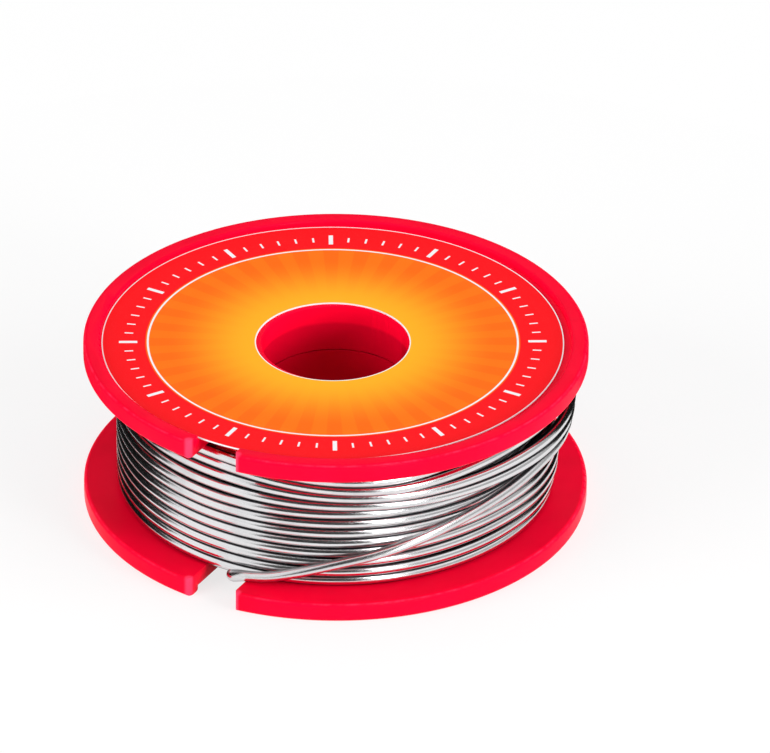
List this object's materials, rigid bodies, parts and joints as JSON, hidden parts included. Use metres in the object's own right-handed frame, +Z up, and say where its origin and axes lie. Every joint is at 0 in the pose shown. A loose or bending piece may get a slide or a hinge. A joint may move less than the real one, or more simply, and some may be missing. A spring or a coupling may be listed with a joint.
{
  "type": "solder wire spool",
  "caption": "Small flanged plastic spool of bright flux-cored solder wire, with a through bore, a wire slot in each flange and the wire's free end tucked into the lower slot.",
  "frame": {"origin": "centre of the lower rim's plane, on the bore's axis", "axes": "+Z up along the bore's axis, through the spool from rim to rim; the wire slots in both flanges lie on -Y"},
  "size_m": [0.047, 0.0468, 0.0167],
  "materials": {
    "spool_plastic": "moulded red plastic, semi-gloss",
    "label_paper": "printed coated paper, satin",
    "solder": "bright drawn tin alloy wire",
    "flux": "solid amber rosin"
  },
  "bodies": {
    "root": {"lower_spool_half": "spool_plastic", "upper_spool_half": "spool_plastic", "top_label": "label_paper", "wire_inner_layers": "solder", "wire_outer_turns": "solder", "wire_tail": "solder", "flux_core": "flux"}
  },
  "joints": []
}
